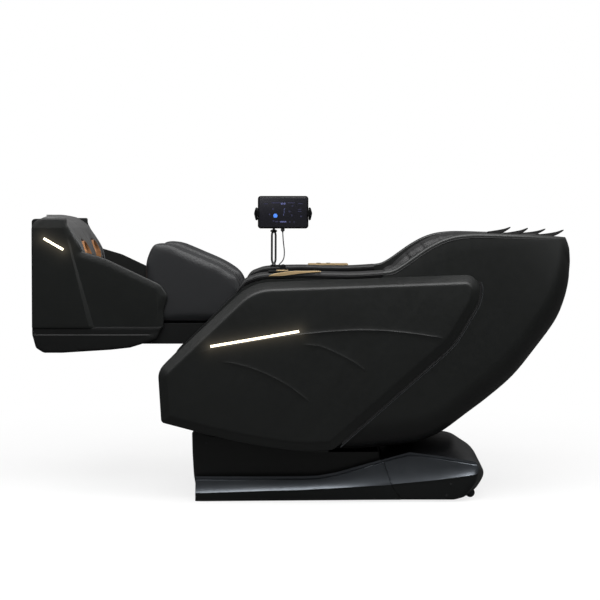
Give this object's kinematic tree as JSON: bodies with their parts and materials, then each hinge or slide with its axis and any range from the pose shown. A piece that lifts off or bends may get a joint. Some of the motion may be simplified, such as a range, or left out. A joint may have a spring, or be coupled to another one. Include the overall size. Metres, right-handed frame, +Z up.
{
  "type": "massage chair",
  "caption": "Coin-hall massage chair, lying back in its zero-gravity position, with a raised leg rest, foot wells, lit side panels and a control tablet on one arm.",
  "frame": {"origin": "on the floor, under the middle of the chair", "axes": "+X from the foot end to the head end, +Z up, -Y the side of the sitter's left arm, which carries the tablet"},
  "size_m": [1.986, 0.801, 1.118],
  "materials": {
    "steel_black": "satin powder coat",
    "steel_bright": "ground steel",
    "rubber_black": "matt",
    "base_plastic": "dark metallic satin",
    "black_plastic": "satin",
    "switch_red": "gloss",
    "motor_grey": "cast, satin",
    "soft_black": "soft-touch satin",
    "light_strip": "lit diffuser",
    "leather_black": "fine-grained, satin",
    "fabric_grey": "woven",
    "leather_grey": "fine-grained, satin",
    "gold": "satin gold",
    "copper": "satin copper",
    "foot_plastic": "satin",
    "tablet_arm_steel": "satin",
    "tablet_glass": "glossy black",
    "cable": "matt sleeve"
  },
  "bodies": {
    "base": {"base_frame": "steel_black", "floor_feet": "rubber_black", "tilt_pin": "steel_bright", "front_cover": "base_plastic", "front_skirt": "base_plastic", "rear_cover": "base_plastic", "control_box": "motor_grey", "inlet_panel": "black_plastic", "cover_screws": "steel_bright"},
    "power_rocker": {"power_switch": "switch_red"},
    "wheel_left": {"transport_wheel_left": "rubber_black"},
    "wheel_right": {"transport_wheel_right": "rubber_black"},
    "tilt_drive": {"tilt_motor": "motor_grey"},
    "tilt_ram": {"tilt_rod": "steel_bright"},
    "body": {"seat_frame": "steel_black", "back_frame": "steel_black", "track_rails": "steel_bright", "leg_hinge_pin": "steel_bright", "back_shell": "soft_black", "arm_shell_left": "soft_black", "arm_shell_right": "soft_black", "side_panel_left": "soft_black", "side_panel_right": "soft_black", "light_strip_left": "light_strip", "light_strip_right": "light_strip", "arm_pad_left": "leather_black", "arm_pad_right": "leather_black", "arm_liners": "fabric_grey", "seat_cushion": "leather_black", "back_cushion": "leather_black", "head_pillow": "leather_black", "shoulder_pad_left": "leather_black", "shoulder_pad_right": "leather_black", "arm_trim_left": "gold", "arm_trim_right": "gold", "leg_motor": "motor_grey", "tablet_turret": "black_plastic"},
    "power_key": {"key_power": "black_plastic"},
    "recline_key": {"key_recline": "black_plastic"},
    "carriage": {"massage_carriage": "steel_bright"},
    "kneaders": {"kneading_wheels": "copper"},
    "legrest": {"legrest_frame": "steel_black", "calf_housing": "black_plastic", "calf_wing_left": "leather_black", "calf_wing_right": "leather_black", "calf_pad": "leather_black"},
    "footrest": {"foot_side_left": "foot_plastic", "foot_side_right": "foot_plastic", "foot_tray": "black_plastic", "foot_lights": "light_strip", "foot_hood": "leather_grey", "foot_liner": "copper", "foot_sliders": "steel_bright"},
    "sole_rollers": {"sole_roller": "rubber_black"},
    "tablet_post": {"tablet_arm": "tablet_arm_steel", "tablet_cable": "cable"},
    "tablet_head": {"tablet_holder": "black_plastic", "tablet": "tablet_glass", "tablet_plug": "black_plastic"}
  },
  "joints": [
    {"name": "body_tilt", "type": "hinge", "parent": "base", "child": "body", "pos_m": [-0.15, 0, 0.225], "axis": [0, -1, 0], "range_deg": [0, 20]},
    {"name": "leg_lift", "type": "hinge", "parent": "body", "child": "legrest", "pos_m": [-0.325, 0, 0.59], "axis": [0, -1, 0], "range_deg": [0, 52]},
    {"name": "foot_extend", "type": "slide", "parent": "legrest", "child": "footrest", "axis": [1, 0, 0], "range_m": [0, 0.13]},
    {"name": "massage_travel", "type": "hinge", "parent": "body", "child": "carriage", "pos_m": [0.036, 0, 1.451], "axis": [0, -1, 0], "range_deg": [-18, 16]},
    {"name": "knead_spin", "type": "hinge", "parent": "carriage", "child": "kneaders", "pos_m": [0.60195, 0, 0.54529], "axis": [0, 1, 0], "continuous": true},
    {"name": "sole_spin", "type": "hinge", "parent": "footrest", "child": "sole_rollers", "pos_m": [-0.938, 0, 0.77], "axis": [0, 1, 0], "continuous": true},
    {"name": "wheel_left_spin", "type": "hinge", "parent": "base", "child": "wheel_left", "pos_m": [0.628, -0.2, 0.019], "axis": [0, 1, 0], "continuous": true},
    {"name": "wheel_right_spin", "type": "hinge", "parent": "base", "child": "wheel_right", "pos_m": [0.628, 0.2, 0.019], "axis": [0, 1, 0], "continuous": true},
    {"name": "power_rock", "type": "hinge", "parent": "base", "child": "power_rocker", "pos_m": [0.664, 0.141, 0.108], "axis": [0, 1, 0], "range_deg": [-16, 0]},
    {"name": "power_key_press", "type": "slide", "parent": "body", "child": "power_key", "axis": [0, 0, -1], "range_m": [0, 0.002], "stiffness_N_per_m": 400, "springref_m": -0.002},
    {"name": "recline_key_press", "type": "slide", "parent": "body", "child": "recline_key", "axis": [0, 0, -1], "range_m": [0, 0.002], "stiffness_N_per_m": 400, "springref_m": -0.002},
    {"name": "tilt_drive_swing", "type": "hinge", "parent": "base", "child": "tilt_drive", "pos_m": [0.1, -0.06, 0.092], "axis": [0, -1, 0], "range_deg": [0, 5.8]},
    {"name": "tilt_ram_stroke", "type": "slide", "parent": "tilt_drive", "child": "tilt_ram", "axis": [-0.4988, 0, 0.8667], "range_m": [0, 0.0496]},
    {"name": "tablet_swivel", "type": "hinge", "parent": "body", "child": "tablet_post", "pos_m": [-0.065, -0.356, 0.856], "axis": [0, 0, 1], "range_deg": [-60, 60]},
    {"name": "tablet_tilt", "type": "hinge", "parent": "tablet_post", "child": "tablet_head", "pos_m": [-0.0985, -0.332, 0.991], "axis": [1, 0, 0], "range_deg": [-15, 15], "deforming": ["tablet_cable"]}
  ],
  "couplings": [
    {"joint": "tilt_drive_swing", "follows": "body_tilt", "ratio": 0.28026},
    {"joint": "tilt_ram_stroke", "follows": "body_tilt", "m_per_rad": 0.14066}
  ]
}
